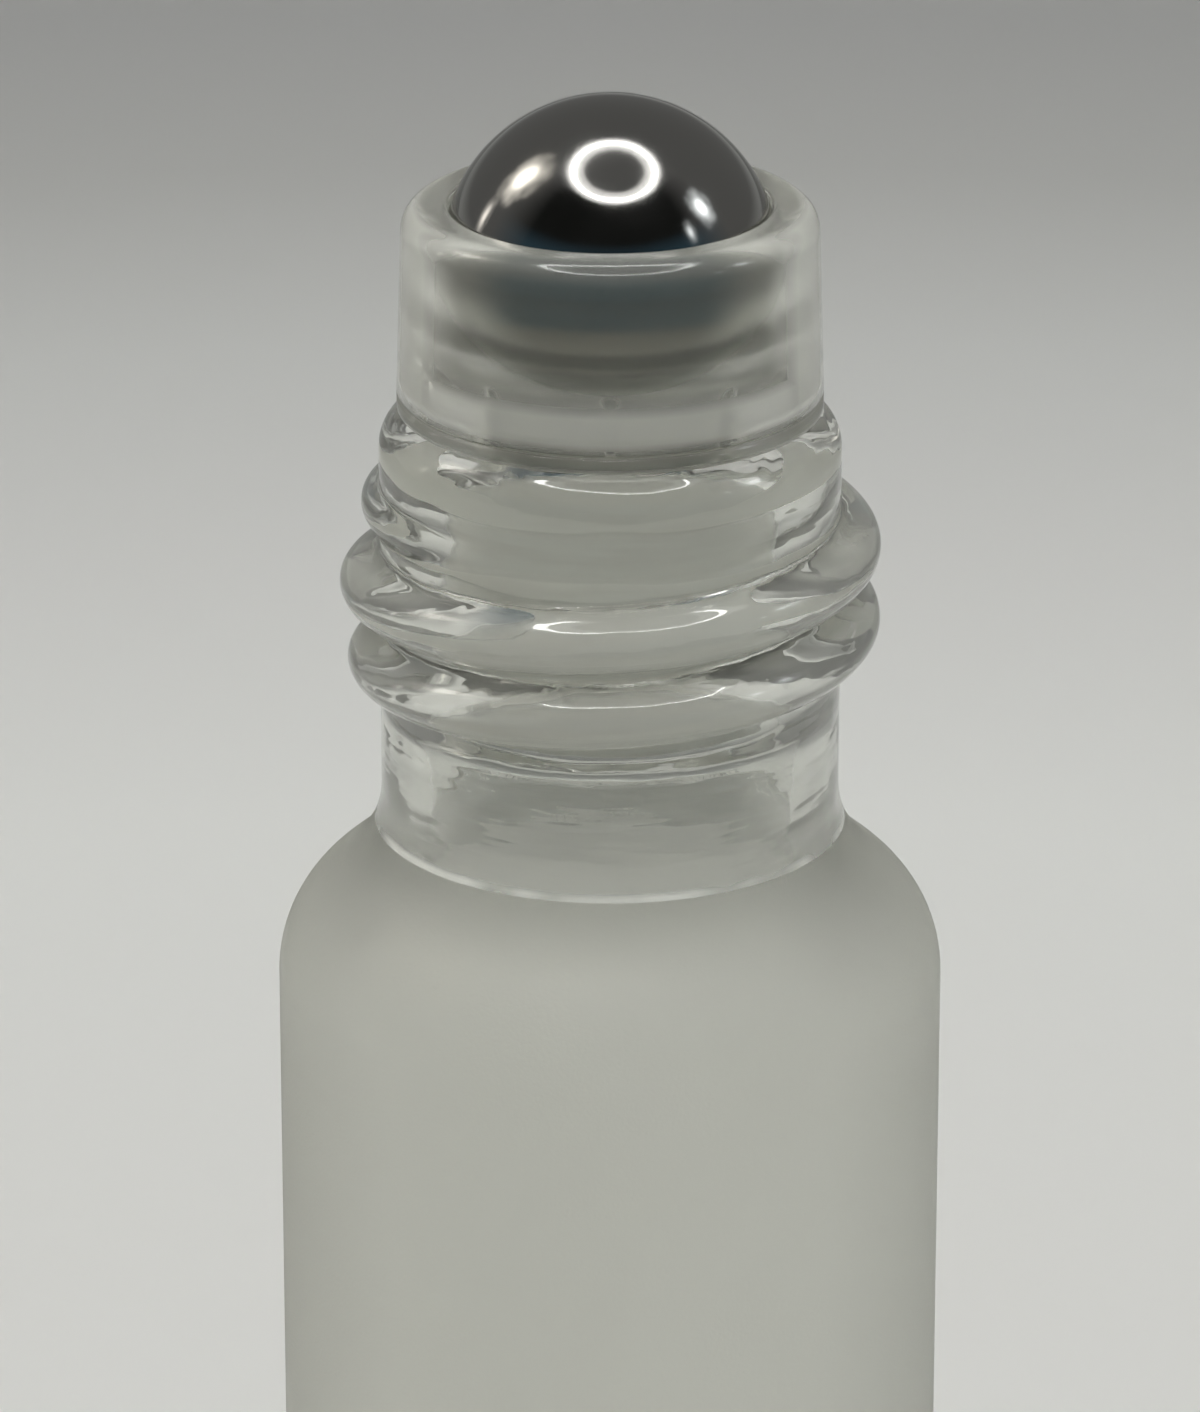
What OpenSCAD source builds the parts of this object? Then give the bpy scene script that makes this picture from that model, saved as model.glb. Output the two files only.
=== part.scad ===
// Roll-on bottle: a glass bottle with a threaded neck, a roller housing pressed into its
// bore, and a steel ball that rolls in the housing. All sizes are in millimetres.
// The origin is in the middle of the base, +Z runs up the bottle's axis, and -Y is the front.

/* [Glass body] */
// Outside diameter of the straight body
body_d = 20; // [19.4:0.1:24]
// Height of the glass from its base to its rim
glass_h = 73; // [50:1:100]
// Thickness of the body's wall
wall_t = 1.9; // [1.4:0.1:2.4]
// Thickness of the glass floor above the standing ring
base_t = 3.2; // [2.2:0.1:6]
// Rounding of the outer heel
heel_r = 1.5; // [0.6:0.1:2.4]
// Rounding of the inner corner between floor and wall
floor_r = 2.4; // [1:0.1:4]
// Width of the flat ring that the bottle stands on
stand_w = 1; // [0.6:0.1:2]
// Height of the hollow under the base
push_up_h = 0.6; // [0.2:0.1:1.2]

/* [Shoulder] */
// Radius of the rounded shoulder
shoulder_r = 4; // [3:0.1:4.4]
// Radius of the fillet between the shoulder and the neck
neck_fillet_r = 3.4; // [1.5:0.1:3.6]
// Slope of the shoulder between its two rounds, in degrees from upright
shoulder_slope = 50; // [42:1:52]

/* [Neck] */
// Outside diameter of the neck between the threads
neck_d = 13.7; // [13:0.1:14]
// Diameter of the bore through the neck
bore_d = 10; // [9.4:0.1:10.6]
// Diameter of the throat, the wider bore below the housing's plug
throat_d = 10.9; // [10.7:0.1:11.3]
// Distance from the rim down to the top of the throat
throat_drop = 9.6; // [9.4:0.1:10.4]
// Length of the cone that widens the bore to the throat
throat_lead = 0.8; // [0.4:0.1:1.2]
// Length of the straight neck from the top of its fillet to the rim
neck_h = 11.8; // [11:0.1:16]
// Rounding of the outer edge of the rim
rim_r = 1.2; // [0.3:0.1:1.4]
// Rounding of the bore's edge at the rim
rim_bore_r = 0.3; // [0.1:0.05:0.5]

/* [Thread] */
// Diameter over the crests of the thread
thread_d = 16.1; // [15.2:0.1:17]
// Rise of the thread in one turn
thread_pitch = 2.3; // [2:0.05:2.6]
// Width of the ridge where it leaves the neck
ridge_w = 2.1; // [1:0.1:2.2]
// Number of turns, with the faded ends
thread_turns = 2.8; // [1.5:0.05:3]
// Distance from the rim down to the middle of the ridge at its upper end
thread_drop = 2.5; // [1.6:0.1:3]
// Direction of the upper end, in degrees from the right-hand side
thread_end_angle = 270; // [0:5:355]
// Length of the faded upper end, in turns
upper_fade_turns = 0.5; // [0.2:0.05:0.7]
// Length of the faded lower end, in turns
lower_fade_turns = 0.75; // [0.2:0.05:0.8]

/* [Roller housing] */
// Outside diameter of the collar at its lip
collar_top_d = 12.3; // [12:0.1:13]
// Outside diameter of the collar where it meets the glass
collar_base_d = 12.6; // [12.3:0.1:13.4]
// Height of the ball's centre above the rim of the glass
ball_lift = 4.4; // [4:0.1:6]
// Height of the lip above the ball's centre
lip_rise = 1.85; // [1.2:0.05:2.4]
// Rounding of the collar's outer top edge
lip_edge_r = 0.8; // [0.2:0.1:1]
// Rounding of the lip's inner edge, next to the ball
lip_tip_r = 0.12; // [0.05:0.01:0.2]
// Thickness of the flange at the foot of the collar
flange_t = 0.45; // [0.3:0.05:0.8]
// Width and depth of the groove above the flange
groove_d = 0.16; // [0.08:0.02:0.3]
// Length of the plug in the bore, measured down from the flange
plug_l = 9; // [6:0.25:10]
// Wall of the plug
plug_wall = 1; // [0.7:0.1:1.5]
// Number of sealing ribs around the plug
seal_ribs = 3; // [1:1:4]
// Height of a sealing rib above the plug's wall
seal_h = 0.1; // [0.05:0.01:0.2]
// Distance between neighbouring sealing ribs
seal_step = 2; // [1:0.1:2]
// Distance from the flange to the first sealing rib
seal_drop = 1.8; // [1:0.1:2.5]
// Radius of the round of a sealing rib
seal_round = 0.35; // [0.2:0.05:0.5]
// Length of the tapered end of the plug
lead_l = 0.8; // [0.3:0.1:1.2]
// Taper of the plug's end, measured on the radius
lead_in = 0.35; // [0.1:0.05:0.4]
// Number of feed notches in the ball's seat
feed_notches = 8; // [3:1:12]
// Width of a feed notch
notch_w = 0.4; // [0.2:0.05:0.8]
// Depth of a feed notch into the seat, measured on the radius
notch_in = 0.45; // [0.2:0.05:0.6]
// Length of a feed notch below the seat's edge
notch_l = 0.4; // [0.4:0.1:1.5]

/* [Roller ball] */
// Diameter of the steel ball
ball_d = 10; // [9.6:0.1:10.2]

/* [Fits] */
// Gap between the ball and its socket, all round
ball_gap = 0.05; // [0.03:0.01:0.1]
// Gap between the sealing ribs and the bore, all round
seal_gap = 0.02; // [0.01:0.01:0.05]
// Gap between the flange and the rim of the glass
flange_gap = 0.03; // [0.02:0.01:0.05]

/* [Hidden] */

// Smoothness of everything turned about the axis
round_fn = 144;
// Steps of the thread in one turn, and points across its ridge
turn_steps = 30;
ridge_steps = 7;
// Overrun of cuts past the faces that they open
cut_over = 1;
// Depth to which the ridge is rooted in the neck
ridge_root = 0.3;
// Share of the ridge's width that is left at its faded ends
faded_width_share = 0.5;

body_r = body_d / 2;
neck_r = neck_d / 2;
bore_r = bore_d / 2;
throat_r = throat_d / 2;
throat_z = glass_h - throat_drop;
hollow_r = body_r - wall_t;
hollow_round_r = shoulder_r - wall_t;
neck_z = glass_h - neck_h;

// The inner fillet follows the outer one, as far as the hollow leaves it room
throat_fillet_r = min(
    neck_fillet_r + neck_r - throat_r,
    (hollow_r - throat_r) / (1 - cos(shoulder_slope)) - hollow_round_r
);

// Length of the straight slope of a shoulder that runs from radius low_r in to radius high_r
function slope_l(low_r, high_r, round_r, fillet_r) =
    (low_r - high_r - (round_r + fillet_r) * (1 - cos(shoulder_slope))) / sin(shoulder_slope);

// Height of that shoulder, with the round at its foot and the fillet at its top
function shoulder_h(low_r, high_r, round_r, fillet_r) =
    (round_r + fillet_r) * sin(shoulder_slope)
    + slope_l(low_r, high_r, round_r, fillet_r) * cos(shoulder_slope);

shoulder_z = neck_z - shoulder_h(body_r, neck_r, shoulder_r, neck_fillet_r);

push_up_r = body_r - heel_r - stand_w;
push_up_sphere_r = (pow(push_up_r, 2) + pow(push_up_h, 2)) / (2 * push_up_h);

crest_h = thread_d / 2 - neck_r;
thread_top_z = glass_h - thread_drop;

ball_r = ball_d / 2;
ball_z = glass_h + flange_gap + ball_lift;
socket_r = ball_r + ball_gap;
lip_z = ball_z + lip_rise;
lip_centre_z = lip_z - lip_tip_r;
lip_centre_r = sqrt(pow(socket_r + lip_tip_r, 2) - pow(lip_centre_z - ball_z, 2));
collar_top_r = collar_top_d / 2;
collar_base_r = collar_base_d / 2;
flange_z = glass_h + flange_gap;

plug_r = bore_r - seal_gap - seal_h;
feed_r = plug_r - plug_wall;
plug_z = flange_z - plug_l;
notch_r = feed_r + notch_in;
notch_z = ball_z - sqrt(pow(socket_r, 2) - pow(notch_r, 2));
seat_z = ball_z - sqrt(pow(socket_r, 2) - pow(feed_r, 2));

// Half section of a shoulder: a round of round_r at its foot, a straight slope, and a
// fillet of fillet_r that runs into the narrower upright above
module shoulder_section(low_r, high_r, low_z, round_r, fillet_r) {
    round_centre_r = low_r - round_r;
    top_z = low_z + shoulder_h(low_r, high_r, round_r, fillet_r);
    slope_start_r = round_centre_r + round_r * cos(shoulder_slope);
    slope_start_z = low_z + round_r * sin(shoulder_slope);
    slope_top_z = slope_start_z + (slope_start_r - high_r) / tan(shoulder_slope);
    translate([round_centre_r, low_z])
        circle(r = round_r, $fn = round_fn);
    difference() {
        polygon([
            [0, low_z],
            [round_centre_r, low_z],
            [slope_start_r, slope_start_z],
            [high_r, slope_top_z],
            [high_r, top_z],
            [0, top_z]
        ]);
        translate([high_r + fillet_r, top_z])
            circle(r = fillet_r, $fn = round_fn);
    }
}

// Half section of an upright with a rounded outer edge at its top or its foot
module rounded_upright(r, bottom_z, top_z, top_round = 0, foot_round = 0) {
    foot_z = bottom_z + foot_round;
    head_z = top_z - top_round;
    translate([0, foot_z])
        square([r, head_z - foot_z]);
    if (foot_round > 0) {
        translate([0, bottom_z])
            square([r - foot_round, foot_round]);
        translate([r - foot_round, foot_z])
            circle(r = foot_round, $fn = round_fn);
    }
    if (top_round > 0) {
        translate([0, head_z])
            square([r - top_round, top_round]);
        translate([r - top_round, head_z])
            circle(r = top_round, $fn = round_fn);
    }
}

// Half section of the whole glass, as if it were solid
module glass_section() {
    rounded_upright(body_r, 0, shoulder_z, foot_round = heel_r);
    shoulder_section(body_r, neck_r, shoulder_z, shoulder_r, neck_fillet_r);
    rounded_upright(neck_r, neck_z, glass_h, top_round = rim_r);
}

// Half section of the hollow inside the glass
module hollow_section() {
    rounded_upright(hollow_r, base_t, shoulder_z, foot_round = floor_r);
    shoulder_section(hollow_r, throat_r, shoulder_z, hollow_round_r, throat_fillet_r);
    polygon([
        [0, shoulder_z],
        [throat_r, shoulder_z],
        [throat_r, throat_z],
        [bore_r, throat_z + throat_lead],
        [bore_r, glass_h + cut_over],
        [0, glass_h + cut_over]
    ]);
    difference() {
        translate([0, glass_h - rim_bore_r])
            square([bore_r + rim_bore_r, rim_bore_r + cut_over]);
        translate([bore_r + rim_bore_r, glass_h - rim_bore_r])
            circle(r = rim_bore_r, $fn = round_fn);
    }
}

// Shallow hollow under the base, cut by a large circle
module push_up_section() {
    translate([0, push_up_h - push_up_sphere_r])
        circle(r = push_up_sphere_r, $fn = round_fn);
}

// Share of the ridge's full height at a place along the thread, from 0 to 1
function fade_share(turn) =
    let (
        near_end = min(turn / lower_fade_turns, (thread_turns - turn) / upper_fade_turns),
        t = max(0, min(1, near_end))
    )
    t * t * (3 - 2 * t);

// Points across the ridge at one place along the thread, from its lower to its upper foot
function ridge_ring(turn) =
    let (
        share = fade_share(turn),
        angle = thread_end_angle - 360 * (thread_turns - turn),
        middle_z = thread_top_z - thread_pitch * (thread_turns - turn),
        foot_r = neck_r - ridge_root,
        height = ridge_root / 2 + (crest_h + ridge_root / 2) * share,
        half_w = ridge_w / 2 * (faded_width_share + (1 - faded_width_share) * share)
    )
    [for (i = [0:ridge_steps])
        let (across = -90 + 180 * i / ridge_steps, r = foot_r + height * cos(across))
        [r * cos(angle), r * sin(angle), middle_z + half_w * sin(across)]];

// Rounded ridge that winds up the neck and fades into it at both ends
module neck_thread() {
    rings = round(turn_steps * thread_turns);
    row = ridge_steps + 1;
    points = [for (k = [0:rings]) each ridge_ring(thread_turns * k / rings)];
    sides = [for (k = [0:rings - 1]) for (i = [0:ridge_steps])
        let (a = k * row + i, b = k * row + (i + 1) % row)
        each [[a, b, b + row], [a, b + row, a + row]]];
    first_cap = [for (i = [0:ridge_steps]) ridge_steps - i];
    last_cap = [for (i = [0:ridge_steps]) rings * row + i];
    polyhedron(points, concat([first_cap], sides, [last_cap]), convexity = 10);
}

// Glass bottle with its frosted body and clear threaded neck
module bottle() {
    color([0.72, 0.74, 0.71])
        union() {
            rotate_extrude($fn = round_fn)
                difference() {
                    glass_section();
                    hollow_section();
                    push_up_section();
                }
            neck_thread();
        }
}

// Half section of the collar that stands on the rim, with its rounded top edge
module collar_section() {
    edge_z = lip_z - lip_edge_r;
    edge_r = collar_top_r - lip_edge_r;
    polygon([
        [0, flange_z],
        [collar_base_r, flange_z],
        [collar_top_r, edge_z],
        [edge_r, edge_z],
        [edge_r, lip_z],
        [0, lip_z]
    ]);
    translate([edge_r, edge_z])
        circle(r = lip_edge_r, $fn = round_fn);
}

// Half section of the plug, with its tapered end, up to inside the collar
module plug_section() {
    polygon([
        [0, flange_z + flange_t],
        [plug_r, flange_z + flange_t],
        [plug_r, plug_z + lead_l],
        [plug_r - lead_in, plug_z],
        [0, plug_z]
    ]);
}

// Rings around the plug that seal it in the bore
module sealing_ribs() {
    for (i = [0:seal_ribs - 1])
        translate([0, 0, flange_z - seal_drop - i * seal_step])
            rotate_extrude($fn = round_fn)
                translate([plug_r + seal_h - seal_round, 0])
                    circle(r = seal_round, $fn = round_fn);
}

// Sharp corner of the lip that its inner round takes away
module lip_corner_section() {
    reach = (socket_r + lip_tip_r) / socket_r;
    touch_r = lip_centre_r / reach;
    touch_z = ball_z + (lip_centre_z - ball_z) / reach;
    polygon([
        [lip_centre_r, lip_centre_z],
        [touch_r, touch_z],
        [touch_r - lip_tip_r, lip_z + lip_tip_r],
        [lip_centre_r, lip_z + lip_tip_r]
    ]);
}

// Feed notches around the edge of the ball's seat, one of them at the front
module feed_notch_cuts() {
    for (i = [0:feed_notches - 1])
        rotate([0, 0, -90 + 360 * i / feed_notches])
            translate([0, -notch_w / 2, seat_z - notch_l])
                cube([notch_r, notch_w, notch_z - seat_z + notch_l]);
}

// Ball socket, feed bore and feed notches
module housing_cuts() {
    translate([0, 0, ball_z])
        sphere(r = socket_r, $fn = round_fn);
    translate([0, 0, plug_z - cut_over])
        cylinder(r = feed_r, h = ball_z - plug_z + cut_over, $fn = round_fn);
    translate([0, 0, flange_z + flange_t + groove_d / 2])
        rotate_extrude($fn = round_fn)
            translate([collar_base_r, 0])
                circle(d = groove_d, $fn = round_fn);
    feed_notch_cuts();
}

// Translucent roller housing: collar, flange, plug, ball socket and feed bore
module roller_housing() {
    color([0.80, 0.81, 0.78])
        union() {
            difference() {
                union() {
                    rotate_extrude($fn = round_fn)
                        collar_section();
                    rotate_extrude($fn = round_fn)
                        plug_section();
                    sealing_ribs();
                }
                housing_cuts();
                rotate_extrude($fn = round_fn)
                    lip_corner_section();
            }
            translate([0, 0, lip_centre_z])
                rotate_extrude($fn = round_fn)
                    translate([lip_centre_r, 0])
                        circle(r = lip_tip_r, $fn = round_fn);
        }
}

// Polished steel ball
module roller_ball() {
    color([0.35, 0.35, 0.34])
        translate([0, 0, ball_z])
            sphere(r = ball_r, $fn = round_fn);
}

bottle();
roller_housing();
roller_ball();
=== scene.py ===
"""Roll-on bottle: frosted glass body, clear threaded neck, translucent housing, steel ball.

The glass, the housing and the ball are turned in mesh code about the bottle's axis, finer than
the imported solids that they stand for. Sizes are in millimetres until they go into a mesh.
"""
import math

import bpy
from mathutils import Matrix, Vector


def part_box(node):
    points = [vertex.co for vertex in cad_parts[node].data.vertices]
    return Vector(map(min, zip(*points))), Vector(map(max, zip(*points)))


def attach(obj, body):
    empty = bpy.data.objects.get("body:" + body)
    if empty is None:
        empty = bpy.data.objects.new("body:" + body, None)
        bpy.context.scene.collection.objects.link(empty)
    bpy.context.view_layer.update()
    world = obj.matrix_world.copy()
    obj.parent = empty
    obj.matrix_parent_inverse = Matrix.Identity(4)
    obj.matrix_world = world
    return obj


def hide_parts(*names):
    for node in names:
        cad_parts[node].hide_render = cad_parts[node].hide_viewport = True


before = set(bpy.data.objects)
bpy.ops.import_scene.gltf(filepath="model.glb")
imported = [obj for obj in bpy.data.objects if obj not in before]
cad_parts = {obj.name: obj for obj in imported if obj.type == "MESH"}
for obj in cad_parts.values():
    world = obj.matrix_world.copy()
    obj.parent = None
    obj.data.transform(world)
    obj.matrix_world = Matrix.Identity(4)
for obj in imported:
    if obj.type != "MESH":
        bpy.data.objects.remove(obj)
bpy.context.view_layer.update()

MM = 0.001


def size_mm(node):
    """Radius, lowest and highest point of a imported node, in millimetres."""
    low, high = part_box(node)
    return (high[0] - low[0]) / 2 / MM, low[2] / MM, high[2] / MM


# Driving sizes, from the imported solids
BODY_R, _, RIM_Z = size_mm("bottle")
COLLAR_BASE_R, PLUG_Z, LIP_Z = size_mm("roller_housing")
BALL_R, BALL_LOW_Z, BALL_TOP_Z = size_mm("roller_ball")
BALL_Z = (BALL_LOW_Z + BALL_TOP_Z) / 2

# Glass, with drops measured down from its rim
WALL = 1.9
FLOOR_T = 3.2
HEEL_ROUND = 1.5
FLOOR_ROUND = 2.4
STAND_W = 1.0
PUSH_UP_H = 0.6
SHOULDER_ROUND = 4.0
NECK_FILLET = 3.4
SHOULDER_SLOPE = math.radians(50)
NECK_R = 6.85
BORE_R = 5.0
THROAT_R = 5.45
THROAT_DROP = 9.6
THROAT_LEAD = 0.8
NECK_H = 11.8
RIM_ROUND = 1.2
BORE_ROUND = 0.3
FROST_DROP = 13.0

# Thread, with its fades in turns
CREST_H = 1.2
PITCH = 2.3
RIDGE_W = 2.1
TURNS = 2.8
THREAD_DROP = 2.5
THREAD_END = math.radians(270)
UPPER_FADE = 0.5
LOWER_FADE = 0.75
FADED_WIDTH = 0.5
RIDGE_ROOT = 0.3
ROOT_BLEND = 0.14

# Roller housing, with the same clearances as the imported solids
COLLAR_TOP_R = 6.15
LIP_EDGE = 0.8
LIP_TIP = 0.12
BALL_GAP = 0.05
FLANGE_T = 0.45
FLANGE_ROUND = 0.1
GROOVE = 0.16
FLANGE_GAP = 0.03
PLUG_WALL = 1.0
PLUG_BEVEL = 0.1
LEAD_L = 0.8
LEAD_IN = 0.35
NOTCHES = 8
NOTCH_W = 0.4
NOTCH_IN = 0.45
NOTCH_L = 0.4
NOTCH_EDGE = 0.02
SEAT_EDGE = 0.03

# Sealing ribs of the plug. The plastic is squeezed into the glass by SEAL_WET, so light passes.
# Each wave of a rib's edges has its size, its count round the plug and its start.
SEALS = 3
SEAL_GAP = 0.02
SEAL_H = 0.1
SEAL_STEP = 2.0
SEAL_DROP = 1.8
SEAL_HALF = 0.38
SEAL_LEAD = 0.2
SEAL_WET = 0.01
SEAL_WAVE = 0.05
SEAL_WAVES = ((1, 2, 1), (0.6, 5, 0), (0.4, 11, 2))
SEAL_TURN = 2.1

# Fineness of the turned meshes: columns round the axis, steps in millimetres, and arcs' steps
COLUMNS = 240
THREAD_STEP = 0.07
WALL_STEP = 1.0
BORE_STEP = 0.28
COLLAR_STEP = 0.5
FEED_STEP = 1.0
PLUG_STEP = 0.04
SHOULDER_STEPS = 16
FILLET_STEPS = 20
HEEL_STEPS = 12
RIM_STEPS = 14
WIDENING_STEPS = 8
LIP_STEPS = 16
GROOVE_STEPS = 10
EDGE_STEPS = 8
FLANGE_STEPS = 6
SOCKET_STEPS = 48
BALL_STEPS = 120
ON_AXIS = 1e-6

# Camera of the photograph: its distance from the bottle's axis along the view, its tilt
# and the height at which the view meets the axis
IMAGE_H = 1412
FOCAL_PX = 8220
TILT = math.radians(21.1)
CAMERA_DISTANCE = 245.8
CAMERA_SIDE = -0.30
AIM_BELOW_BALL = 13.92
SENSOR = 36.0
CLIP_START = 0.01


# Outlines


def arc(centre, radius, start, end, steps):
    """Points (r, z) on an arc, with the angles in radians."""
    angles = [start + (end - start) * i / steps for i in range(steps + 1)]
    return [(centre[0] + radius * math.cos(a), centre[1] + radius * math.sin(a)) for a in angles]


def line(start, end, step):
    """Points (r, z) along a straight line, without its ends."""
    steps = max(1, round(math.dist(start, end) / step))
    return [tuple(s + (e - s) * i / steps for s, e in zip(start, end)) for i in range(1, steps)]


def smooth(share):
    """Smooth step from 0 to 1."""
    return share * share * (3 - 2 * share)


def shoulder(low_r, high_r, low_z, round_r, fillet_r):
    """Shoulder from the wall at low_r up to the upright at high_r: a round, a slope, a fillet."""
    slope, half_turn = SHOULDER_SLOPE, math.pi
    drawn_in = (round_r + fillet_r) * (1 - math.cos(slope))
    slope_l = (low_r - high_r - drawn_in) / math.sin(slope)
    height = (round_r + fillet_r) * math.sin(slope) + slope_l * math.cos(slope)
    top = (high_r + fillet_r, low_z + height)
    foot = (low_r - round_r, low_z)
    round_part = arc(foot, round_r, 0, slope, SHOULDER_STEPS)
    return round_part + arc(top, fillet_r, half_turn + slope, half_turn, FILLET_STEPS)


def shoulder_height():
    """Height of the outer shoulder, from the end of the straight wall to the straight neck."""
    outline = shoulder(BODY_R, NECK_R, 0, SHOULDER_ROUND, NECK_FILLET)
    return outline[-1][1]


NECK_Z = RIM_Z - NECK_H
SHOULDER_Z = NECK_Z - shoulder_height()
FROST_Z = RIM_Z - FROST_DROP


def base_outline():
    """Underside of the base: a shallow hollow and the standing ring."""
    ring_r = BODY_R - HEEL_ROUND - STAND_W
    big_r = (ring_r ** 2 + PUSH_UP_H ** 2) / (2 * PUSH_UP_H)
    hollow = []
    for i in range(HEEL_STEPS + 1):
        r = ring_r * i / HEEL_STEPS
        hollow.append((r, PUSH_UP_H - big_r + math.sqrt(big_r ** 2 - r ** 2)))
    return hollow


def outer_outline():
    """Outside of the glass from the heel to the straight neck."""
    heel = arc((BODY_R - HEEL_ROUND, HEEL_ROUND), HEEL_ROUND, -math.pi / 2, 0, HEEL_STEPS)
    wall = line((BODY_R, HEEL_ROUND), (BODY_R, SHOULDER_Z), WALL_STEP)
    return heel + wall + shoulder(BODY_R, NECK_R, SHOULDER_Z, SHOULDER_ROUND, NECK_FILLET)


def neck_outline():
    """Straight outside of the neck, in the fine steps that the thread needs."""
    return line((NECK_R, NECK_Z), (NECK_R, RIM_Z - RIM_ROUND), THREAD_STEP)


def rim_outline():
    """Rounded rim, from the outside of the neck to the bore."""
    outer = arc((NECK_R - RIM_ROUND, RIM_Z - RIM_ROUND), RIM_ROUND, 0, math.pi / 2, RIM_STEPS)
    centre = (BORE_R + BORE_ROUND, RIM_Z - BORE_ROUND)
    return outer + arc(centre, BORE_ROUND, math.pi / 2, math.pi, EDGE_STEPS)


def inner_outline():
    """Inside of the glass, from the bore down to the middle of the floor."""
    hollow_r = BODY_R - WALL
    climb = shoulder(hollow_r, THROAT_R, SHOULDER_Z, SHOULDER_ROUND - WALL,
                     NECK_FILLET + NECK_R - THROAT_R)
    down = climb[::-1]
    throat_z = RIM_Z - THROAT_DROP
    bore = line((BORE_R, RIM_Z - BORE_ROUND), (BORE_R, throat_z + THROAT_LEAD), BORE_STEP)
    for i in range(WIDENING_STEPS + 1):
        share = i / WIDENING_STEPS
        widened = BORE_R + (THROAT_R - BORE_R) * smooth(share)
        bore.append((widened, throat_z + THROAT_LEAD * (1 - share)))
    bore += line(bore[-1], down[0], BORE_STEP)
    floor_centre = (hollow_r - FLOOR_ROUND, FLOOR_T + FLOOR_ROUND)
    corner = arc(floor_centre, FLOOR_ROUND, 0, -math.pi / 2, HEEL_STEPS)
    wall = line(down[-1], corner[0], WALL_STEP)
    return bore + down + wall + corner + line(corner[-1], (0, FLOOR_T), WALL_STEP) + [(0, FLOOR_T)]


# Thread


def fade_share(turn):
    """Share of the ridge's full height at a place along the thread, from 0 to 1."""
    return smooth(max(0.0, min(1.0, turn / LOWER_FADE, (TURNS - turn) / UPPER_FADE)))


def neck_radius(angle, z):
    """Radius of the neck's outside, with the ridge of the thread blended into it."""
    first = ((THREAD_END - angle) / math.tau) % 1
    ridge_r = NECK_R - RIDGE_ROOT
    reach = ridge_r
    turn_down = first
    while turn_down < TURNS:
        share = fade_share(TURNS - turn_down)
        height = RIDGE_ROOT / 2 + (CREST_H + RIDGE_ROOT / 2) * share
        half_w = RIDGE_W / 2 * (FADED_WIDTH + (1 - FADED_WIDTH) * share)
        across = (z - (RIM_Z - THREAD_DROP - PITCH * turn_down)) / half_w
        if abs(across) < 1:
            reach = max(reach, ridge_r + height * math.sqrt(1 - across ** 2))
        turn_down += 1
    step = reach - NECK_R
    lift = (step + math.sqrt(step ** 2 + ROOT_BLEND ** 2)) / 2
    rest = (math.sqrt(RIDGE_ROOT ** 2 + ROOT_BLEND ** 2) - RIDGE_ROOT) / 2
    return NECK_R + lift - rest


# Meshes


def turned_mesh(name, outline, closed, shape=None, slots=None):
    """Turns an outline about Z. shape(i, angle, r, z) may move a point of it to a new (r, z),
    and slots(i) gives the material of the faces between points i and i + 1."""
    verts, rings = [], []
    for i, (r, z) in enumerate(outline):
        if r < ON_AXIS:
            rings.append([len(verts)] * COLUMNS)
            verts.append((0, 0, z * MM))
            continue
        ring = []
        for j in range(COLUMNS):
            angle = math.tau * j / COLUMNS
            pr, pz = shape(i, angle, r, z) if shape else (r, z)
            ring.append(len(verts))
            verts.append((pr * math.cos(angle) * MM, pr * math.sin(angle) * MM, pz * MM))
        rings.append(ring)
    faces, face_slots = [], []
    spans = len(outline) if closed else len(outline) - 1
    for i in range(spans):
        low, high = rings[i], rings[(i + 1) % len(rings)]
        for j in range(COLUMNS):
            k = (j + 1) % COLUMNS
            corners = [low[j], low[k], high[k], high[j]]
            faces.append([c for n, c in enumerate(corners) if c != corners[n - 1]])
            face_slots.append(slots(i) if slots else 0)
    mesh = bpy.data.meshes.new(name)
    mesh.from_pydata(verts, [], faces)
    mesh.polygons.foreach_set("material_index", face_slots)
    mesh.polygons.foreach_set("use_smooth", [True] * len(faces))
    mesh.validate()
    piece = bpy.data.objects.new(name, mesh)
    bpy.context.scene.collection.objects.link(piece)
    return piece


def make_glass():
    """Frosted body and clear threaded neck, in one closed mesh of two materials."""
    base, outer, neck = base_outline(), outer_outline(), neck_outline()
    outline = base + outer + neck + rim_outline() + inner_outline()
    neck_first = len(base) + len(outer)
    neck_last = neck_first + len(neck)
    frosted_end = next(i for i in range(len(base), neck_first) if outline[i][1] > FROST_Z)

    def shape(i, angle, r, z):
        if neck_first <= i < neck_last:
            return neck_radius(angle, z), z
        return r, z

    piece = turned_mesh("glass", outline, False, shape, lambda i: 0 if i < frosted_end else 1)
    piece.data.materials.append(frosted_glass())
    piece.data.materials.append(clear_glass())
    return piece


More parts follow.
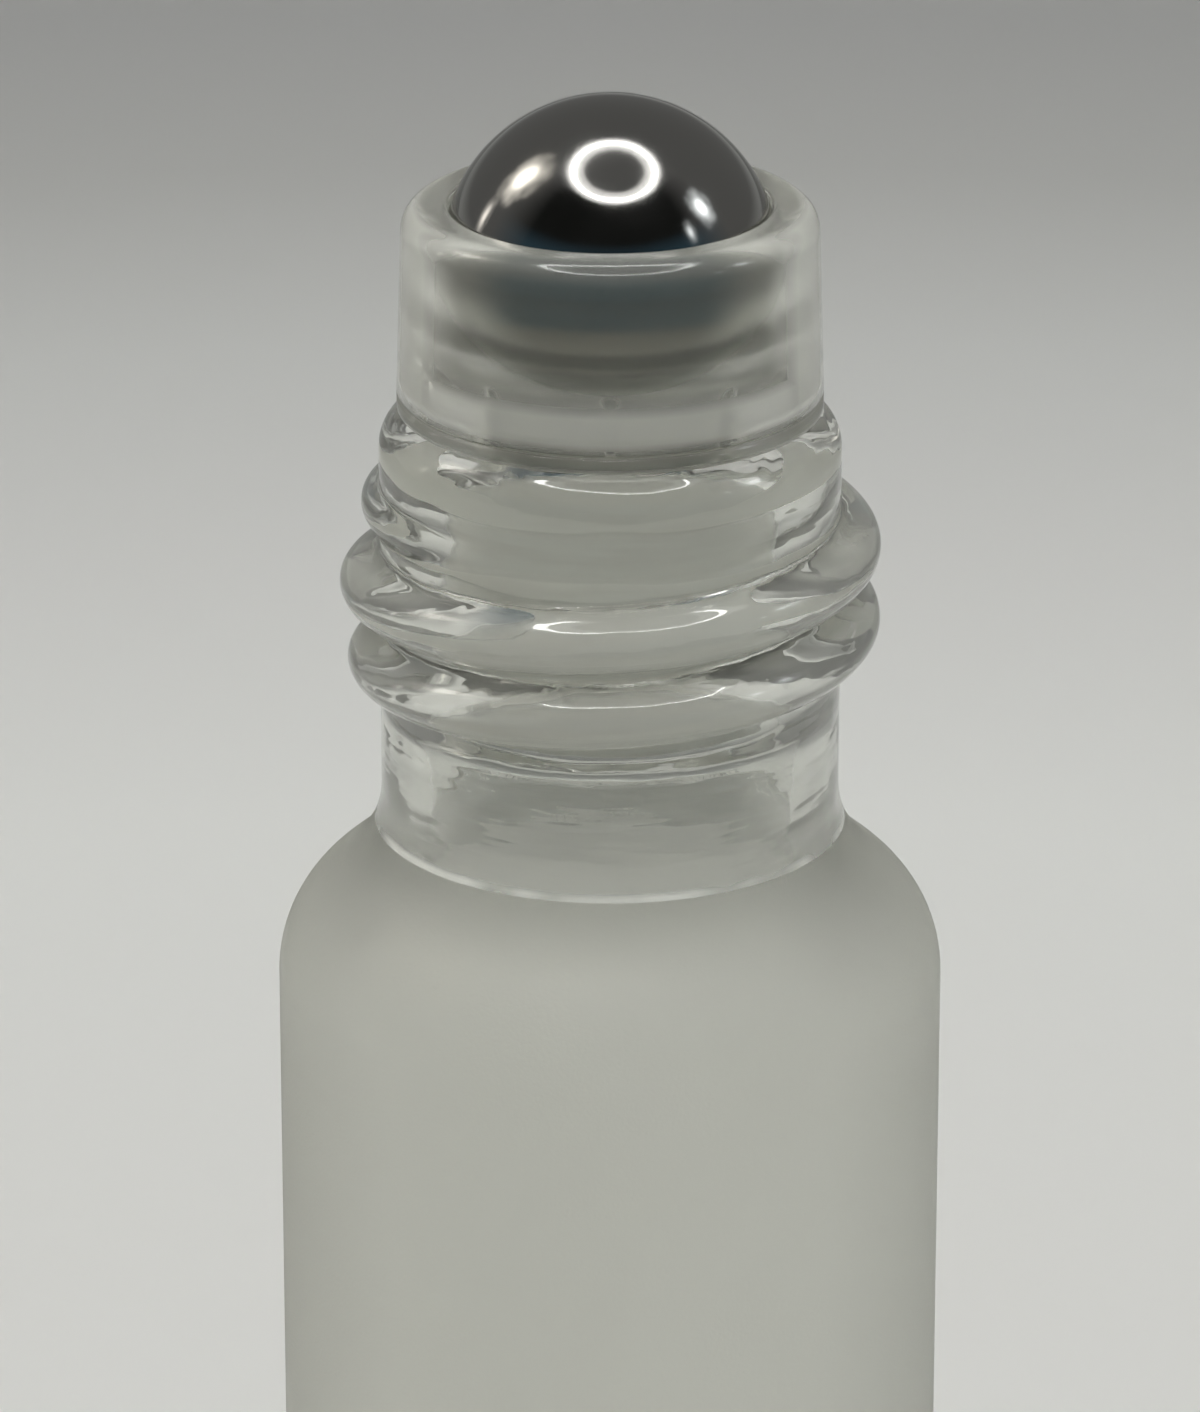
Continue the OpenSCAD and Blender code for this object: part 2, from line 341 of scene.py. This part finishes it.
def housing_outline():
    """Half section of the housing, the height of its notches' foot and the notches' radius."""
    socket_r = BALL_R + BALL_GAP
    tip_z = LIP_Z - LIP_TIP
    tip_r = math.sqrt((socket_r + LIP_TIP) ** 2 - (tip_z - BALL_Z) ** 2)
    tip_angle = math.atan2(tip_z - BALL_Z, tip_r)
    flange_z = RIM_Z + FLANGE_GAP
    edge = (COLLAR_TOP_R - LIP_EDGE, LIP_Z - LIP_EDGE)
    groove_z = flange_z + FLANGE_T + GROOVE / 2
    plug_r = BORE_R + SEAL_WET
    feed_r = BORE_R - SEAL_GAP - SEAL_H - PLUG_WALL

    points = arc((tip_r, tip_z), LIP_TIP, math.pi + tip_angle, math.pi / 2, EDGE_STEPS)
    points += arc(edge, LIP_EDGE, math.pi / 2, 0, LIP_STEPS)
    points += line((COLLAR_TOP_R, edge[1]), (COLLAR_BASE_R, groove_z + GROOVE / 2), COLLAR_STEP)
    points += arc((COLLAR_BASE_R, groove_z), GROOVE / 2, math.pi / 2, 1.5 * math.pi, GROOVE_STEPS)
    flange_edge = (COLLAR_BASE_R - FLANGE_ROUND, flange_z + FLANGE_ROUND)
    points += arc(flange_edge, FLANGE_ROUND, 0, -math.pi / 2, FLANGE_STEPS)
    points += [(plug_r, flange_z)]
    points += line((plug_r, flange_z), (plug_r, PLUG_Z + LEAD_L), PLUG_STEP)
    points += [(plug_r, PLUG_Z + LEAD_L), (plug_r - LEAD_IN, PLUG_Z)]
    points += [(feed_r + PLUG_BEVEL, PLUG_Z), (feed_r, PLUG_Z + PLUG_BEVEL)]
    seat_z = BALL_Z - math.sqrt(socket_r ** 2 - feed_r ** 2)
    notch_foot = seat_z - NOTCH_L
    points += line((feed_r, PLUG_Z), (feed_r, notch_foot - NOTCH_EDGE), FEED_STEP)
    points += [(feed_r, notch_foot - NOTCH_EDGE), (feed_r, notch_foot)]
    points += [(feed_r, seat_z - SEAT_EDGE)]
    seat_angle = math.atan2(seat_z - BALL_Z, feed_r)
    points += arc((0, BALL_Z), socket_r, seat_angle, tip_angle, SOCKET_STEPS)[1:-1]
    return points[::-1], notch_foot, feed_r + NOTCH_IN


def plug_radius(angle, z):
    """Radius of the plug's outside: only its sealing ribs wet the bore, with uneven edges."""
    depth = RIM_Z - z
    nearest = min(SEALS - 1, max(0, round((depth - SEAL_DROP) / SEAL_STEP)))
    turn = angle + SEAL_TURN * nearest
    waves = sum(size * math.sin(count * turn + start) for size, count, start in SEAL_WAVES)
    off = abs(depth - SEAL_DROP - nearest * SEAL_STEP)
    wet = smooth(max(0.0, min(1.0, (SEAL_HALF + SEAL_WAVE * waves - off) / SEAL_LEAD)))
    return BORE_R + SEAL_WET - SEAL_H * (1 - wet)


def make_housing():
    """Translucent housing with its socket, feed notches, plug and sealing ribs."""
    outline, notch_foot, notch_r = housing_outline()

    def shape(i, angle, r, z):
        if r > BORE_R and PLUG_Z < z < RIM_Z:
            return plug_radius(angle, z), z
        if not notch_foot <= z < BALL_Z:
            return r, z
        turn = (angle - THREAD_END) / math.tau * NOTCHES
        off_centre = abs(turn - round(turn)) / NOTCHES * math.tau * notch_r
        if off_centre < NOTCH_W / 2 and r < notch_r:
            return notch_r, z
        return r, z

    piece = turned_mesh("housing", outline, True, shape)
    piece.data.materials.append(housing_plastic())
    return piece


def make_ball():
    """Polished ball, turned about Z with closely spaced rings."""
    outline = []
    for i in range(BALL_STEPS + 1):
        angle = math.pi * i / BALL_STEPS
        outline.append((BALL_R * math.sin(angle), BALL_Z - BALL_R * math.cos(angle)))
    piece = turned_mesh("ball", outline, False)
    piece.data.materials.append(ball_steel())
    return piece


# Materials
#
# Colours are (red, green, blue, 1). A name in _Z or _R is a span of heights or radii in
# millimetres over which one finish gives way to another. A noise is (cycles for each metre,
# detail) or (cycles, detail, stretch), and a bump is (depth in metres, strength).

# Clear glass. Its outside is etched a little by the frosting: most at the neck's foot, where
# patches scatter light, and least above. Its outside's colour is painted darker at the neck's
# foot, a painted shade. The thread's ridges are slightly dull.
GLASS_IOR = 1.52
INSIDE_TINT = (0.99, 0.99, 0.985, 1)
FOOT_PAINTED_SHADE = (0.89, 0.90, 0.85, 1)
NECK_TINT = (0.935, 0.945, 0.895, 1)
ABOVE_FROST_Z = (FROST_Z - 0.1, FROST_Z)
NECK_SKIN_R = (6.3, 6.6)
FOOT_SHADE_Z = (FROST_Z + 3.0, FROST_Z + 5.5)
HAZE_Z = (FROST_Z, FROST_Z + 3.0)
NECK_HAZE = 0.36
HAZED_CLEAR = 0.74
GLASS_ROUGH = (0.02, 0.2)
PATCH_NOISE = (220, 2)
PATCH_SPAN = (0.44, 0.60)
PATCH_SCATTER = 0.7
PATCH_Z = (FROST_Z + 0.16, FROST_Z + 0.3)
DULL_RIDGE = 0.13
DULL_R = (NECK_R + 0.1, NECK_R + 0.7)
DULL_Z = (NECK_Z + 3.0, NECK_Z + 4.0)
GLASS_WAVES = (300, 2, (1, 1, 0.6))
GLASS_RIPPLES = (1000, 2, (0.22, 0.22, 1.3))
RIPPLE_SHARE = 0.35
GLASS_BUMP = (0.00026, 0.45)

# Frosted glass. Where it is seen on edge, its colour is painted darker, a painted shade for the
# light's longer way through the wall; less on the shoulder.
FROSTED_TINT = (0.95, 0.955, 0.888, 1)
SLANT_PAINTED_SHADE = (0.71, 0.715, 0.655, 1)
FROSTED_SLANT = (0.3, 0.9)
SHOULDER_SLANT = 0.5
SHOULDER_BLEND_Z = (SHOULDER_Z - 2.0, SHOULDER_Z + 2.0)
FROSTED_CLEAR = (0.46, 0.88)
FROSTED_ROUGH = (0.5, 0.6)
CLOUD_NOISE = (90, 3)
GRAIN_NOISE = (9000, 2)
GRAIN_BUMP = (0.00002, 0.35)

# Housing. Its plug is opaque with darker streaks, and its collar clear, milky low down and where
# it is slanted. The socket's wall is rougher than the outside.
PLASTIC_IOR = 1.5
PLASTIC_TINT = (0.985, 0.99, 0.93, 1)
STREAK_TINT = (0.93, 0.925, 0.865, 1)
STREAK_NOISE = (1500, 3, (0.16, 0.16, 1))
STREAK_SPAN = (0.40, 0.56)
EVEN_Z = (RIM_Z - 0.3, RIM_Z + 0.2)
CLEAR_Z = (RIM_Z - 0.35, RIM_Z + 0.2)
PLUG_CLEAR = 0.06
COLLAR_CLEAR = 0.955
COLLAR_SKIN_R = (5.3, 5.8)
MILKY_Z = (RIM_Z + 1.7, RIM_Z + 2.6)
FLANGE_BLEND_Z = (RIM_Z + FLANGE_T, RIM_Z + FLANGE_T + 0.5)
LIP_BLEND_Z = (LIP_Z - 0.7, LIP_Z - 0.2)
LIP_MILKY = 0.25
COLLAR_SLANT = (0.34, 0.56)
SLANT_MILKY = 1.1
MILKY_DROP = 0.36
FLOW_NOISE = (500, 2, (1, 1, 0.3))
PLASTIC_ROUGH = (0.07, 0.13)
SOCKET_ROUGH = 0.13
PLASTIC_BUMP = (0.00005, 0.3)

# Ball
STEEL = (0.37, 0.365, 0.35, 1)
SMUDGE_NOISE = (420, 4)
SMUDGE_SPAN = (0.35, 0.75)
STEEL_ROUGH = (0.07, 0.15)
SCRATCH_NOISE = (1500, 3, (1, 0.2, 1))
SCRATCH_BUMP = (0.00001, 0.15)


def new_material(name):
    """A material with a Principled shader: (material, its node tree, shader)."""
    mat = bpy.data.materials.new(name)
    mat.use_nodes = True
    return mat, mat.node_tree, mat.node_tree.nodes["Principled BSDF"]


def feed(tree, socket, value):
    """Gives an input a value: another node's output, or a number, colour or vector."""
    if isinstance(value, bpy.types.NodeSocket):
        tree.links.new(value, socket)
    else:
        socket.default_value = value


def math_node(tree, operation, first, second):
    """One sum, product or the like of two values, each a socket or a number."""
    node = tree.nodes.new("ShaderNodeMath")
    node.operation = operation
    feed(tree, node.inputs[0], first)
    feed(tree, node.inputs[1], second)
    return node.outputs["Value"]


def product(tree, first, *others):
    """Product of values, each a socket or a number."""
    for other in others:
        first = math_node(tree, "MULTIPLY", first, other)
    return first


def vector_node(tree, operation, first, second=(0, 0, 0)):
    """Result of a vector operation: a value for a length, distance or dot product."""
    node = tree.nodes.new("ShaderNodeVectorMath")
    node.operation = operation
    feed(tree, node.inputs[0], first)
    feed(tree, node.inputs[1], second)
    gives_value = operation in ("LENGTH", "DISTANCE", "DOT_PRODUCT")
    return node.outputs["Value" if gives_value else "Vector"]


def mapped(tree, value, results, span=(0, 1)):
    """Maps a value from its span to a span of results, and holds it there."""
    node = tree.nodes.new("ShaderNodeMapRange")
    tree.links.new(value, node.inputs["Value"])
    node.inputs["From Min"].default_value, node.inputs["From Max"].default_value = span
    node.inputs["To Min"].default_value, node.inputs["To Max"].default_value = results
    return node.outputs["Result"]


def rising(tree, value, span):
    """0 below a span and 1 above it."""
    return mapped(tree, value, (0, 1), span)


def falling(tree, value, span):
    """1 below a span and 0 above it."""
    return mapped(tree, value, (1, 0), span)


def colour_mix(tree, share, first, second):
    """Mix of two colours, each a socket or a colour. Returns its Result socket."""
    node = tree.nodes.new("ShaderNodeMix")
    node.data_type = "RGBA"
    feed(tree, node.inputs["Factor"], share)
    feed(tree, node.inputs["A"], first)
    feed(tree, node.inputs["B"], second)
    return node.outputs["Result"]


def colour_ramp(tree, value, stops):
    """Colour ramp from stops (position, colour). Returns its Color socket."""
    node = tree.nodes.new("ShaderNodeValToRGB")
    elements = node.color_ramp.elements
    elements.remove(elements[1])
    elements[0].position, elements[0].color = stops[0]
    for position, colour in stops[1:]:
        elements.new(position).color = colour
    tree.links.new(value, node.inputs["Fac"])
    return node.outputs["Color"]


def object_place(tree):
    """Place on the object, in metres."""
    return tree.nodes.new("ShaderNodeTexCoord").outputs["Object"]


def axis_place(tree):
    """Distance from the bottle's axis and height, both in millimetres."""
    place = object_place(tree)
    split = tree.nodes.new("ShaderNodeSeparateXYZ")
    tree.links.new(place, split.inputs["Vector"])
    flat = vector_node(tree, "MULTIPLY", place, (1 / MM, 1 / MM, 0))
    return vector_node(tree, "LENGTH", flat), mapped(tree, split.outputs["Z"], (0, 1 / MM))


def noise(tree, cycles, detail, stretch=(1, 1, 1)):
    """Noise over the object, in cycles for each metre. Returns its Fac socket."""
    mapping = tree.nodes.new("ShaderNodeMapping")
    mapping.inputs["Scale"].default_value = stretch
    tree.links.new(object_place(tree), mapping.inputs["Vector"])
    tex = tree.nodes.new("ShaderNodeTexNoise")
    tex.inputs["Scale"].default_value = cycles
    tex.inputs["Detail"].default_value = detail
    tree.links.new(mapping.outputs["Vector"], tex.inputs["Vector"])
    return tex.outputs["Fac"]


def facing(tree):
    """0 where a surface faces the eye and 1 where it is seen on edge."""
    return tree.nodes.new("ShaderNodeLayerWeight").outputs["Facing"]


def bump(tree, shader, relief, depth, strength):
    """Bump from a relief socket; its depth is in metres."""
    node = tree.nodes.new("ShaderNodeBump")
    node.inputs["Distance"].default_value = depth
    node.inputs["Strength"].default_value = strength
    tree.links.new(relief, node.inputs["Height"])
    tree.links.new(node.outputs["Normal"], shader.inputs["Normal"])


def clear_glass():
    """Clear moulded glass with the slight waves of a pressed surface."""
    mat, tree, shader = new_material("clear_glass")
    shader.inputs["IOR"].default_value = GLASS_IOR
    radius, height = axis_place(tree)
    outside = product(tree, rising(tree, height, ABOVE_FROST_Z), rising(tree, radius, NECK_SKIN_R))
    # Painted shade: the outside is painted darker at the neck's foot, giving way to the neck's
    # tint above.
    tint_and_painted_shade = colour_mix(tree, rising(tree, height, FOOT_SHADE_Z), FOOT_PAINTED_SHADE, NECK_TINT)
    feed(tree, shader.inputs["Base Color"], colour_mix(tree, outside, INSIDE_TINT, tint_and_painted_shade))

    haze = product(tree, outside, mapped(tree, height, (1, NECK_HAZE), HAZE_Z))
    rough = mapped(tree, haze, GLASS_ROUGH, (NECK_HAZE, 1))
    feed(tree, shader.inputs["Roughness"], rough)

    dull = mapped(tree, radius, (0, DULL_RIDGE), DULL_R)
    dull = product(tree, dull, rising(tree, height, DULL_Z))
    patches = mapped(tree, noise(tree, *PATCH_NOISE), (0, PATCH_SCATTER), PATCH_SPAN)
    patches = product(tree, patches, falling(tree, height, PATCH_Z), outside)
    clear = math_node(tree, "SUBTRACT", mapped(tree, haze, (1, HAZED_CLEAR)), dull)
    clear = math_node(tree, "SUBTRACT", clear, patches)
    feed(tree, shader.inputs["Transmission Weight"], clear)

    ripples = product(tree, noise(tree, *GLASS_RIPPLES), RIPPLE_SHARE)
    relief = math_node(tree, "ADD", noise(tree, *GLASS_WAVES), ripples)
    bump(tree, shader, relief, *GLASS_BUMP)
    return mat


def frosted_glass():
    """Etched outside of the body: rough, with a fine grain and faint cloudiness."""
    mat, tree, shader = new_material("frosted_glass")
    shader.inputs["IOR"].default_value = GLASS_IOR
    height = axis_place(tree)[1]
    # Painted shade: the base colour darkens where the surface is seen on edge.
    slanted = product(tree, rising(tree, facing(tree), FROSTED_SLANT),
                      mapped(tree, height, (1, SHOULDER_SLANT), SHOULDER_BLEND_Z))
    tint_and_painted_shade = colour_mix(tree, slanted, FROSTED_TINT, SLANT_PAINTED_SHADE)
    clear = mapped(tree, height, FROSTED_CLEAR, (SHOULDER_Z, FROST_Z))
    feed(tree, shader.inputs["Base Color"], tint_and_painted_shade)
    feed(tree, shader.inputs["Transmission Weight"], clear)
    rough = mapped(tree, noise(tree, *CLOUD_NOISE), FROSTED_ROUGH)
    feed(tree, shader.inputs["Roughness"], rough)
    bump(tree, shader, noise(tree, *GRAIN_NOISE), *GRAIN_BUMP)
    return mat


def housing_plastic():
    """Natural translucent plastic: clearest where it is thin round the ball, milky below."""
    mat, tree, shader = new_material("housing_plastic")
    shader.inputs["IOR"].default_value = PLASTIC_IOR
    radius, height = axis_place(tree)
    even = rising(tree, height, EVEN_Z)
    streaks = rising(tree, noise(tree, *STREAK_NOISE), STREAK_SPAN)
    share = math_node(tree, "MAXIMUM", even, streaks)
    feed(tree, shader.inputs["Base Color"], colour_mix(tree, share, STREAK_TINT, PLASTIC_TINT))

    outside = rising(tree, radius, COLLAR_SKIN_R)
    above_flange = rising(tree, height, FLANGE_BLEND_Z)
    low = product(tree, outside, falling(tree, height, MILKY_Z), above_flange)
    lip = product(tree, rising(tree, height, LIP_BLEND_Z), LIP_MILKY)
    slanted = mapped(tree, facing(tree), (0, SLANT_MILKY), COLLAR_SLANT)
    slanted = product(tree, slanted, outside, above_flange)
    milky = math_node(tree, "MAXIMUM", math_node(tree, "MAXIMUM", low, lip), slanted)
    clear = mapped(tree, height, (PLUG_CLEAR, COLLAR_CLEAR), CLEAR_Z)
    clear = math_node(tree, "SUBTRACT", clear, product(tree, milky, MILKY_DROP))
    feed(tree, shader.inputs["Transmission Weight"], clear)

    flow = noise(tree, *FLOW_NOISE)
    socket = product(tree, falling(tree, radius, COLLAR_SKIN_R), even, SOCKET_ROUGH)
    rough = math_node(tree, "ADD", mapped(tree, flow, PLASTIC_ROUGH), socket)
    feed(tree, shader.inputs["Roughness"], rough)
    bump(tree, shader, flow, *PLASTIC_BUMP)
    return mat


def ball_steel():
    """Polished steel with faint smudges."""
    mat, tree, shader = new_material("ball_steel")
    shader.inputs["Base Color"].default_value = STEEL
    shader.inputs["Metallic"].default_value = 1
    rough = mapped(tree, noise(tree, *SMUDGE_NOISE), STEEL_ROUGH, SMUDGE_SPAN)
    feed(tree, shader.inputs["Roughness"], rough)
    bump(tree, shader, noise(tree, *SCRATCH_NOISE), *SCRATCH_BUMP)
    return mat


# Floor and room
#
# Reflections see a room that is dark in front, and everything else a pale one. The floor is
# painted darker away from the bottle, a painted falloff of the light, and in reflections its front
# side carries a painted shadow. The floor's stops are distances from the bottle in metres, and the
# room's are shares of the way up.

FRONT = (0, -1, 0)
DARK_SIDE = (-0.1, 0.45)
DUSKY = (0.04, 0.078, 0.104, 1)
DARK = (0.012, 0.013, 0.012, 1)
DIM = (0.16, 0.16, 0.156, 1)
ROOM_LIGHT = (0.45, 0.45, 0.43, 1)
ROOM_BEHIND = (
    (0, (0.30, 0.305, 0.295, 1)),
    (0.12, DIM),
)
ROOM_IN_FRONT = (
    (0.35, DUSKY),
    (0.5, DARK),
    (0.85, DARK),
    (0.95, DIM),
)
# Painted falloff of the light: the floor darkens with distance from the bottle.
FLOOR_PAINTED_FALLOFF = (
    (0.10, (0.675, 0.68, 0.67, 1)),
    (0.15, (0.68, 0.69, 0.68, 1)),
    (0.187, (0.61, 0.615, 0.61, 1)),
    (0.222, (0.53, 0.54, 0.535, 1)),
    (0.257, (0.415, 0.42, 0.415, 1)),
    (0.291, (0.365, 0.37, 0.37, 1)),
    (0.5, (0.345, 0.35, 0.35, 1)),
)
# Painted shadow on the floor in front, seen only in reflections.
FLOOR_PAINTED_FRONT_SHADOW = (
    (0.02, (0.45, 0.44, 0.41, 1)),
    (0.06, (0.28, 0.27, 0.25, 1)),
    (0.115, (0.17, 0.165, 0.15, 1)),
    (0.125, DUSKY),
)
FLOOR_HALF = 2.0
FLOOR_ROUGH = 0.9
FLOOR_SPECULAR = 0.2


def in_front(tree, direction):
    """1 for directions in front and 0 behind, fading in between the cosines of DARK_SIDE."""
    flat = vector_node(tree, "MULTIPLY", direction, (1, 1, 0))
    unit = vector_node(tree, "NORMALIZE", flat)
    return rising(tree, vector_node(tree, "DOT_PRODUCT", unit, FRONT), DARK_SIDE)


def mirrored(tree):
    """1 for what is seen by reflection alone, and 0 for what lights the surfaces."""
    path = tree.nodes.new("ShaderNodeLightPath")
    reflected = math_node(tree, "MINIMUM", path.outputs["Glossy Depth"], 1)
    undiffused = math_node(tree, "LESS_THAN", path.outputs["Diffuse Depth"], 0.5)
    return product(tree, reflected, undiffused)


def floor_material():
    """Pale floor with a painted falloff of light away from the bottle, and a painted shadow on its
    front side in reflections.
    """
    mat, tree, shader = new_material("floor")
    place = object_place(tree)
    reach = vector_node(tree, "LENGTH", place)
    share = product(tree, mirrored(tree), in_front(tree, place))
    # Painted light: falloff away from the bottle, and a painted shadow in front seen in
    # reflections.
    colour = colour_mix(tree, share, colour_ramp(tree, reach, FLOOR_PAINTED_FALLOFF),
                        colour_ramp(tree, reach, FLOOR_PAINTED_FRONT_SHADOW))
    feed(tree, shader.inputs["Base Color"], colour)
    shader.inputs["Roughness"].default_value = FLOOR_ROUGH
    shader.inputs["Specular IOR Level"].default_value = FLOOR_SPECULAR
    return mat


def make_floor():
    """Large flat floor under the bottle, with its painted falloff and painted front shadow."""
    half = FLOOR_HALF
    corners = [(-half, -half, 0), (half, -half, 0), (half, half, 0), (-half, half, 0)]
    mesh = bpy.data.meshes.new("floor")
    mesh.from_pydata(corners, [], [(0, 1, 2, 3)])
    mesh.materials.append(floor_material())
    floor = bpy.data.objects.new("floor", mesh)
    bpy.context.scene.collection.objects.link(floor)


def make_world():
    """Room: pale low down and dim above, and dark in front in reflections."""
    world = bpy.data.worlds.new("room")
    world.use_nodes = True
    tree = world.node_tree
    direction = tree.nodes.new("ShaderNodeTexCoord").outputs["Generated"]
    split = tree.nodes.new("ShaderNodeSeparateXYZ")
    tree.links.new(direction, split.inputs["Vector"])
    behind = colour_ramp(tree, split.outputs["Z"], ROOM_BEHIND)
    front = colour_ramp(tree, split.outputs["Z"], ROOM_IN_FRONT)
    seen = colour_mix(tree, in_front(tree, direction), behind, front)
    colour = colour_mix(tree, mirrored(tree), ROOM_LIGHT, seen)
    feed(tree, tree.nodes["Background"].inputs["Color"], colour)
    bpy.context.scene.world = world


# Lights
#
# Places, sizes and radii are in metres. A span on a lamp is between two distances from its
# middle, as shares of its width, so its edge is at HALF_LAMP.

HALF_LAMP = 0.5
RING_ABOVE_BALL = 0.45
RING_PLACE = (0.02, -0.065, BALL_Z * MM + RING_ABOVE_BALL)
RING_OUTER = 0.2295
RING_INNER = 0.1395
RING_COLOUR = (1.0, 0.995, 0.98)
RING_TUBE = 1.5
RING_CORE = 20
CORE_SPAN = (0.41, 0.43)
RING_SOFT = 0.01

# Windows: name, place, size, radiance, colour
WINDOWS = (
    ("left_window", (-0.707, 0.200, 0.758), (0.56, 0.78), 1.7, (1.0, 0.95, 0.86)),
    ("left_low_window", (-0.915, 0.307, 0.339), (0.2, 0.55), 0.7, (1.0, 0.95, 0.88)),
    ("right_window", (0.829, -0.07, 0.632), (0.36, 0.50), 1.7, (0.92, 0.97, 1.0)),
    ("right_low_window", (0.807, -0.383, 0.527), (0.16, 0.34), 0.9, (0.92, 0.97, 1.0)),
)
PANE_CYCLES = 3
PANE_DETAIL = 2
PANE_SHARE = 0.5
WINDOW_EDGE = (0.42, 0.68)
GLARE = 3.5
GLARE_SPAN = (0.06, 0.22)


def aim(obj, target):
    """Turns an object's -Z towards a point, both in metres."""
    direction = [t - p for t, p in zip(target, obj.location)]
    obj.rotation_euler = (
        math.atan2(math.hypot(direction[0], direction[1]), -direction[2]),
        0,
        math.atan2(direction[1], direction[0]) - math.pi / 2,
    )


def area_light(name, place, size, radiance, colour):
    """Rectangular light that faces the ball: (lamp, its node tree, place on it, reach)."""
    data = bpy.data.lights.new(name, "AREA")
    data.shape = "RECTANGLE"
    data.size, data.size_y = size
    data.energy = radiance * math.pi * size[0] * size[1]
    data.color = colour
    lamp = bpy.data.objects.new(name, data)
    lamp.location = place
    aim(lamp, (0, 0, BALL_Z * MM))
    bpy.context.scene.collection.objects.link(lamp)
    data.use_nodes = True
    tree = data.node_tree
    on_lamp = tree.nodes.new("ShaderNodeNewGeometry").outputs["Parametric"]
    reach = vector_node(tree, "DISTANCE", on_lamp, (HALF_LAMP, HALF_LAMP, 0))
    return lamp, tree, on_lamp, reach


def make_ring_lamp():
    """Ring lamp overhead: a square area light that shines only within a ring, most in its core."""
    size = (2 * RING_OUTER, 2 * RING_OUTER)
    lamp, tree, _, reach = area_light("ring_lamp", RING_PLACE, size, 1, RING_COLOUR)
    lamp.rotation_euler = (0, 0, 0)
    dark, tube, core = [(v, v, v, 1) for v in (0, RING_TUBE, RING_CORE)]
    edge = HALF_LAMP * RING_INNER / RING_OUTER
    core_in, core_out = CORE_SPAN
    shine = colour_ramp(tree, reach, (
        (edge - RING_SOFT, dark),
        (edge + RING_SOFT, tube),
        (core_in - RING_SOFT, tube),
        (core_in, core),
        (core_out, core),
        (core_out + RING_SOFT, tube),
        (HALF_LAMP - RING_SOFT, tube),
        (HALF_LAMP, dark),
    ))
    feed(tree, tree.nodes["Emission"].inputs["Strength"], shine)


def make_window(name, place, size, radiance, colour):
    """Window light: brightest in its middle and soft and uneven towards its edges."""
    _, tree, on_lamp, reach = area_light(name, place, size, radiance, colour)
    panes = tree.nodes.new("ShaderNodeTexNoise")
    panes.inputs["Scale"].default_value = PANE_CYCLES
    panes.inputs["Detail"].default_value = PANE_DETAIL
    tree.links.new(on_lamp, panes.inputs["Vector"])
    uneven = math_node(tree, "ADD", product(tree, panes.outputs["Fac"], PANE_SHARE), reach)
    glare = mapped(tree, reach, (GLARE, 1), GLARE_SPAN)
    shine = product(tree, falling(tree, uneven, WINDOW_EDGE), glare)
    feed(tree, tree.nodes["Emission"].inputs["Strength"], shine)


def make_camera():
    """Camera of the photograph."""
    data = bpy.data.cameras.new("camera")
    data.sensor_fit = "VERTICAL"
    data.sensor_height = SENSOR
    data.lens = SENSOR * FOCAL_PX / IMAGE_H
    data.clip_start = CLIP_START
    camera = bpy.data.objects.new("camera", data)
    aim_z = BALL_Z - AIM_BELOW_BALL
    back = -CAMERA_DISTANCE * math.cos(TILT)
    up = aim_z + CAMERA_DISTANCE * math.sin(TILT)
    camera.location = (CAMERA_SIDE * MM, back * MM, up * MM)
    camera.rotation_euler = (math.pi / 2 - TILT, 0, 0)
    bpy.context.scene.collection.objects.link(camera)
    bpy.context.scene.camera = camera


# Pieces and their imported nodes


def dress(piece, node):
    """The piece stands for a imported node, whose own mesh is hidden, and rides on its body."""
    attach(piece, node)
    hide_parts(node)


make_camera()
make_world()
make_ring_lamp()
for window in WINDOWS:
    make_window(*window)
make_floor()
dress(make_glass(), "bottle")
dress(make_housing(), "roller_housing")
dress(make_ball(), "roller_ball")
bpy.context.scene.view_settings.view_transform = "Standard"
